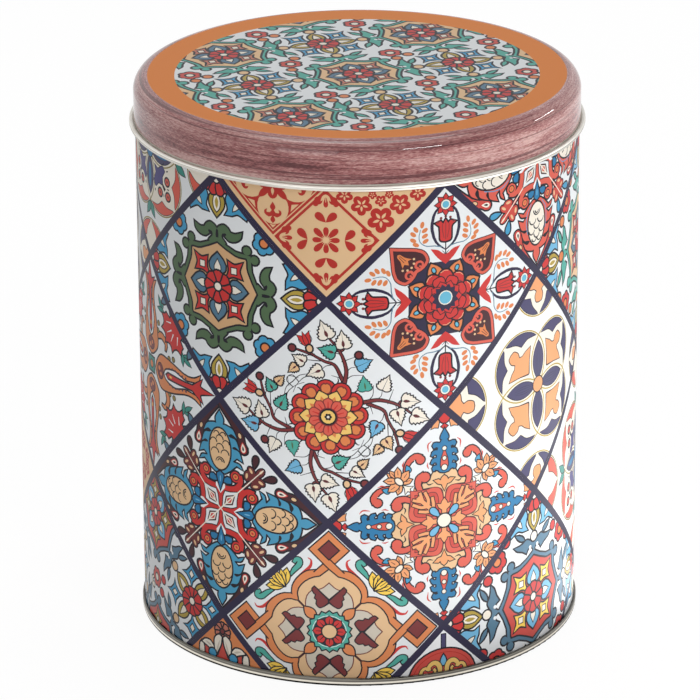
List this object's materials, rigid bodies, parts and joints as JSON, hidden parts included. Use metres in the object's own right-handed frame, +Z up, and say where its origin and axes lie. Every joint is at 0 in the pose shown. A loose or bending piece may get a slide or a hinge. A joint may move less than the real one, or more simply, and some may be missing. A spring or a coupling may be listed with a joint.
{
  "type": "cookie tin",
  "caption": "Tall round slip-lid tin in printed tinplate: double-seamed base, locked side seam, curled mouth and a shallow lift-off lid.",
  "frame": {"origin": "centre of the ring that the tin stands on, at its foot", "axes": "+Z up along the tin's axis, out through the lid; +Y towards the side seam, at the back"},
  "size_m": [0.1602, 0.1602, 0.2],
  "materials": {
    "printed_wall": "varnished print on tinplate",
    "bare_tinplate": "bare tinplate, fine rolling lines",
    "printed_lid": "varnished print on tinplate, bare curl"
  },
  "bodies": {
    "canister": {"body_wall": "printed_wall", "base": "bare_tinplate"},
    "lid": {"lid": "printed_lid"}
  },
  "joints": [
    {"name": "lid_lift", "type": "slide", "parent": "canister", "child": "lid", "axis": [0, 0, 1], "range_m": [0, 0.1]}
  ]
}
